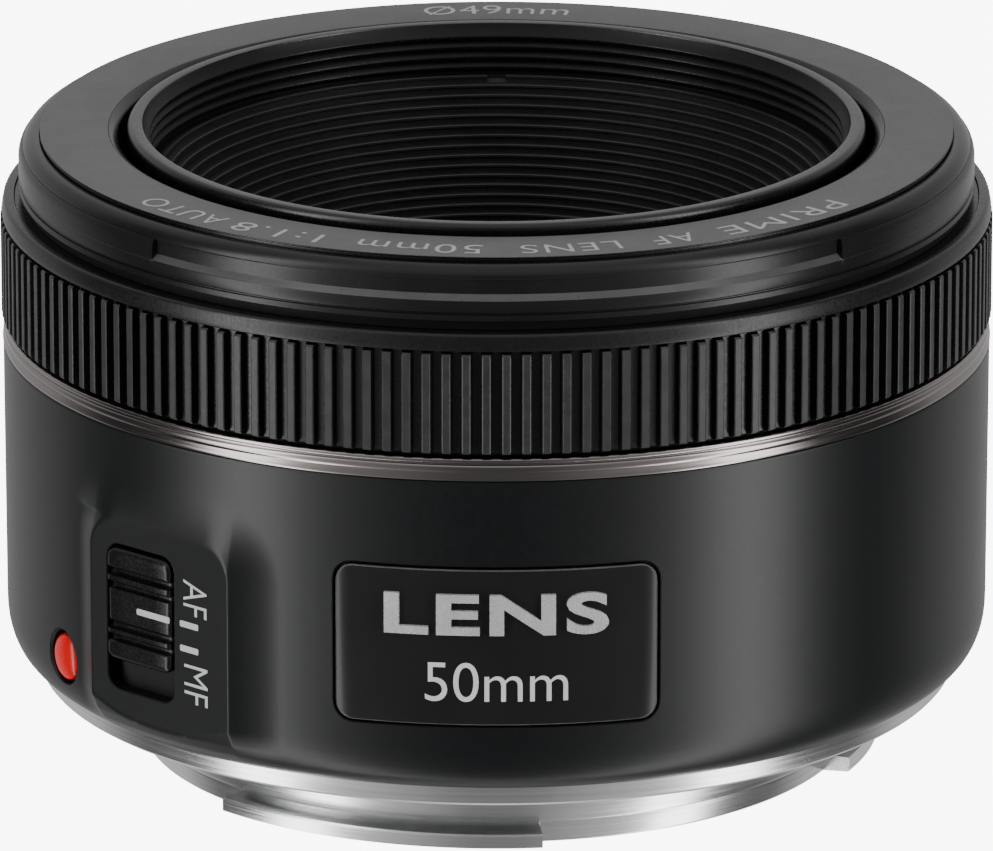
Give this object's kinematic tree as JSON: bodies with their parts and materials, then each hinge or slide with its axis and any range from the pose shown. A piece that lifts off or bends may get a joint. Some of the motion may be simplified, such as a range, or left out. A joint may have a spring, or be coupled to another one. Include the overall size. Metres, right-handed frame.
{
  "type": "prime camera lens",
  "caption": "Prime camera lens with bayonet mount, ribbed focus ring, focus mode switch, extending inner barrel and iris diaphragm.",
  "frame": {"origin": "centre of the seat face of the camera flange, on the optical axis", "axes": "+Z along the optical axis towards the subject (front), -Y towards the badge, +X to the right of the badge seen from outside"},
  "size_m": [0.0692, 0.0692, 0.0445],
  "materials": {
    "mount_metal": "bright plated, fine turned",
    "screw_steel": "blackened steel",
    "black_moulding": "matte black, glass filled",
    "barrel_paint": "fine speckled satin paint",
    "gold": "gold plated",
    "index_red": "glossy",
    "badge_gloss": "glossy black",
    "board_green": "solder resist",
    "spring_bronze": "spring bronze",
    "trim_metal": "bronze-grey metallic, turned",
    "washer_plastic": "natural low-friction plastic",
    "bezel_black": "semi-gloss black",
    "name_grey": "satin dark grey, printed",
    "felt": "flocked",
    "bracket_steel": "stamped",
    "motor_can": "satin can",
    "axle_steel": "ground",
    "knob_black": "satin with a white index line",
    "slider_steel": "stamped",
    "grip_black": "satin ribbed",
    "comb_black": "matte",
    "cam_alloy": "machined",
    "gear_acetal": "acetal",
    "gear_brass": "machined",
    "barrel_black": "semi-gloss black",
    "baffle_black": "flat black, ribbed",
    "retainer_black": "black anodised",
    "optical_glass": "coated",
    "blade_steel": "black coated"
  },
  "bodies": {
    "lens_barrel": {"mount_ring": "mount_metal", "mount_screws": "screw_steel", "rear_baffle": "black_moulding", "contact_block": "black_moulding", "contact_pins": "gold", "contact_screws": "screw_steel", "rear_frame": "black_moulding", "rear_barrel": "barrel_paint", "index_dot": "index_red", "badge_plate": "badge_gloss", "switch_board": "board_green", "detent_spring": "spring_bronze", "trim_ring": "trim_metal", "friction_washers": "washer_plastic", "front_bezel": "bezel_black", "name_ring": "name_grey", "felt_seal": "felt", "bezel_screws": "screw_steel", "guide_barrel": "black_moulding", "frame_screws": "screw_steel", "photo_interrupters": "black_moulding", "main_board": "board_green", "motor_bracket": "bracket_steel", "focus_motor": "motor_can", "motor_screws": "screw_steel", "gear_axle": "axle_steel"},
    "grip": {"focus_ring": "grip_black", "encoder_comb": "comb_black"},
    "af_switch": {"mode_switch": "knob_black", "switch_slider": "slider_steel"},
    "cam": {"cam_ring": "cam_alloy"},
    "idler": {"idler_gear": "gear_acetal"},
    "drive_pinion": {"motor_pinion": "gear_brass"},
    "focus_group": {"focusing_barrel": "barrel_black", "cam_rollers": "gear_brass", "front_baffle": "baffle_black", "front_cell": "black_moulding", "front_retainer": "retainer_black", "element_1": "optical_glass", "element_2": "optical_glass", "element_3": "optical_glass", "element_4": "optical_glass", "element_5": "optical_glass", "element_6": "optical_glass", "aperture_base": "black_moulding", "aperture_cover": "black_moulding", "aperture_motor": "motor_can", "rear_cell": "black_moulding", "rear_retainer": "retainer_black", "cell_screws": "screw_steel"},
    "iris_ring": {"aperture_ring": "black_moulding"},
    "iris_pinion": {"aperture_pinion": "gear_brass"},
    "iris_blade_1": {"blade_1": "blade_steel"},
    "iris_blade_2": {"blade_2": "blade_steel"},
    "iris_blade_3": {"blade_3": "blade_steel"},
    "iris_blade_4": {"blade_4": "blade_steel"},
    "iris_blade_5": {"blade_5": "blade_steel"},
    "iris_blade_6": {"blade_6": "blade_steel"},
    "iris_blade_7": {"blade_7": "blade_steel"}
  },
  "joints": [
    {"name": "focus_ring_turn", "type": "hinge", "parent": "lens_barrel", "child": "grip", "pos_m": [0, 0, 0.03], "axis": [0, 0, 1], "continuous": true},
    {"name": "mode_switch_slide", "type": "slide", "parent": "lens_barrel", "child": "af_switch", "axis": [0, 0, 1], "range_m": [-0.0017, 0]},
    {"name": "cam_turn", "type": "hinge", "parent": "lens_barrel", "child": "cam", "pos_m": [0, 0, 0.016], "axis": [0, 0, 1], "range_deg": [0, 105]},
    {"name": "focus_slide", "type": "slide", "parent": "lens_barrel", "child": "focus_group", "axis": [0, 0, 1], "range_m": [0, 0.0105]},
    {"name": "idler_spin", "type": "hinge", "parent": "lens_barrel", "child": "idler", "pos_m": [0.00944, 0.02679, 0.008], "axis": [0, 0, 1], "range_deg": [-1140, 5]},
    {"name": "motor_spin", "type": "hinge", "parent": "lens_barrel", "child": "drive_pinion", "pos_m": [0.01465, 0.02537, 0.006], "axis": [0, 0, 1], "range_deg": [-5, 2960]},
    {"name": "iris_ring_turn", "type": "hinge", "parent": "focus_group", "child": "iris_ring", "pos_m": [0, 0, 0.0076], "axis": [0, 0, 1], "range_deg": [0, 19]},
    {"name": "iris_blade_1_swing", "type": "hinge", "parent": "focus_group", "child": "iris_blade_1", "pos_m": [0.0182, 0, 0.009], "axis": [0, 0, 1], "range_deg": [0, 26.7]},
    {"name": "iris_blade_2_swing", "type": "hinge", "parent": "focus_group", "child": "iris_blade_2", "pos_m": [0.01135, 0.01423, 0.009], "axis": [0, 0, 1], "range_deg": [0, 26.7]},
    {"name": "iris_blade_3_swing", "type": "hinge", "parent": "focus_group", "child": "iris_blade_3", "pos_m": [-0.00405, 0.01774, 0.009], "axis": [0, 0, 1], "range_deg": [0, 26.7]},
    {"name": "iris_blade_4_swing", "type": "hinge", "parent": "focus_group", "child": "iris_blade_4", "pos_m": [-0.0164, 0.0079, 0.009], "axis": [0, 0, 1], "range_deg": [0, 26.7]},
    {"name": "iris_blade_5_swing", "type": "hinge", "parent": "focus_group", "child": "iris_blade_5", "pos_m": [-0.0164, -0.0079, 0.009], "axis": [0, 0, 1], "range_deg": [0, 26.7]},
    {"name": "iris_blade_6_swing", "type": "hinge", "parent": "focus_group", "child": "iris_blade_6", "pos_m": [-0.00405, -0.01774, 0.009], "axis": [0, 0, 1], "range_deg": [0, 26.7]},
    {"name": "iris_blade_7_swing", "type": "hinge", "parent": "focus_group", "child": "iris_blade_7", "pos_m": [0.01135, -0.01423, 0.009], "axis": [0, 0, 1], "range_deg": [0, 26.7]},
    {"name": "iris_pinion_spin", "type": "hinge", "parent": "focus_group", "child": "iris_pinion", "pos_m": [-0.0156, 0.00568, 0.0065], "axis": [0, 0, 1], "range_deg": [-1, 245]}
  ],
  "couplings": [
    {"joint": "cam_turn", "follows": "focus_slide", "rad_per_m": 174.53},
    {"joint": "idler_spin", "follows": "focus_slide", "rad_per_m": -1890.8},
    {"joint": "motor_spin", "follows": "focus_slide", "rad_per_m": 4916},
    {"joint": "iris_blade_1_swing", "follows": "iris_ring_turn", "ratio": 1.4},
    {"joint": "iris_blade_2_swing", "follows": "iris_ring_turn", "ratio": 1.4},
    {"joint": "iris_blade_3_swing", "follows": "iris_ring_turn", "ratio": 1.4},
    {"joint": "iris_blade_4_swing", "follows": "iris_ring_turn", "ratio": 1.4},
    {"joint": "iris_blade_5_swing", "follows": "iris_ring_turn", "ratio": 1.4},
    {"joint": "iris_blade_6_swing", "follows": "iris_ring_turn", "ratio": 1.4},
    {"joint": "iris_blade_7_swing", "follows": "iris_ring_turn", "ratio": 1.4},
    {"joint": "iris_pinion_spin", "follows": "iris_ring_turn", "ratio": 12.857}
  ]
}
